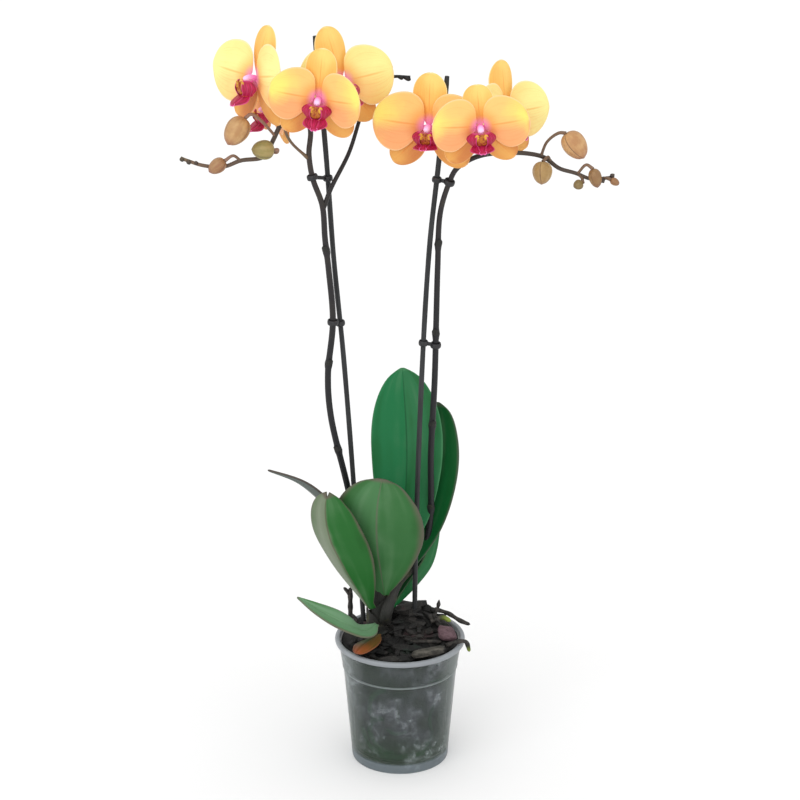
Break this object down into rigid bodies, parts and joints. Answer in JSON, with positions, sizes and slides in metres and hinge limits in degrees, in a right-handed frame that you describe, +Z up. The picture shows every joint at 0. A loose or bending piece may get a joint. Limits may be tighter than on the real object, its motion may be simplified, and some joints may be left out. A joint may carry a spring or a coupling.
{
  "type": "potted orchid",
  "caption": "Moth orchid in a clear plastic pot of bark: broad leaves, flower spikes tied to stakes, and yellow-orange blooms with crimson lips and hanging buds.",
  "frame": {"origin": "on the floor under the pot's axis, at the centre of the plant's footprint", "axes": "+Z up along the pot's axis, -Y the way most of the flowers face, +X to the viewer's right"},
  "size_m": [0.3753, 0.1383, 0.6857],
  "materials": {
    "pot_plastic": "cloudy clear polypropylene",
    "bark": "damp composted pine bark",
    "bark_chip": "loose bark chips, some dusty mauve or grey",
    "root": "aerial root, grey-green skin",
    "crown": "dark leaf sheaths around the short stem",
    "leaf": "thick waxy leaf with a purple-brown edge",
    "leaf_withered": "withering leaf base, orange to olive",
    "stake": "dark support stake",
    "clip": "dark moulded clip",
    "spike": "dark purple-brown flower stem",
    "bud": "closed bud, tan to green",
    "sepal": "soft velvety sepal, orange to yellow",
    "petal": "soft velvety petal, apricot to yellow",
    "lip": "crimson lip with a yellow callus and a pale column"
  },
  "bodies": {
    "root": {"pot": "pot_plastic", "bark": "bark", "chip_mauve": "bark_chip", "chip_long": "bark_chip", "root_over_rim": "root", "root_stub": "root", "root_mound": "root", "crown": "crown", "leaf_tall": "leaf", "leaf_back": "leaf", "leaf_right": "leaf", "leaf_front": "leaf", "leaf_folded": "leaf", "leaf_side": "leaf", "leaf_low": "leaf", "leaf_withered": "leaf_withered", "stake_left": "stake", "stake_right": "stake", "clip_left_upper": "clip", "clip_left_lower": "clip", "clip_right_upper": "clip", "clip_right_lower": "clip", "spike_left": "spike", "spike_right": "spike", "bud_left_1": "bud", "bud_left_2": "bud", "bud_left_3": "bud", "bud_right_1": "bud", "bud_right_2": "bud", "bud_right_3": "bud", "bud_right_4": "bud", "bud_right_5": "bud", "flower_1_sepals": "sepal", "flower_1_petal_left": "petal", "flower_1_petal_right": "petal", "flower_1_lip": "lip", "flower_2_sepals": "sepal", "flower_2_petal_left": "petal", "flower_2_petal_right": "petal", "flower_2_lip": "lip", "flower_3_sepals": "sepal", "flower_3_petal_left": "petal", "flower_3_petal_right": "petal", "flower_3_lip": "lip", "flower_4_sepals": "sepal", "flower_4_petal_left": "petal", "flower_4_petal_right": "petal", "flower_4_lip": "lip", "flower_5_sepals": "sepal", "flower_5_petal_left": "petal", "flower_5_petal_right": "petal", "flower_5_lip": "lip", "flower_6_sepals": "sepal", "flower_6_petal_left": "petal", "flower_6_petal_right": "petal", "flower_6_lip": "lip", "flower_7_sepals": "sepal", "flower_7_petal_left": "petal", "flower_7_petal_right": "petal", "flower_7_lip": "lip"}
  },
  "joints": []
}
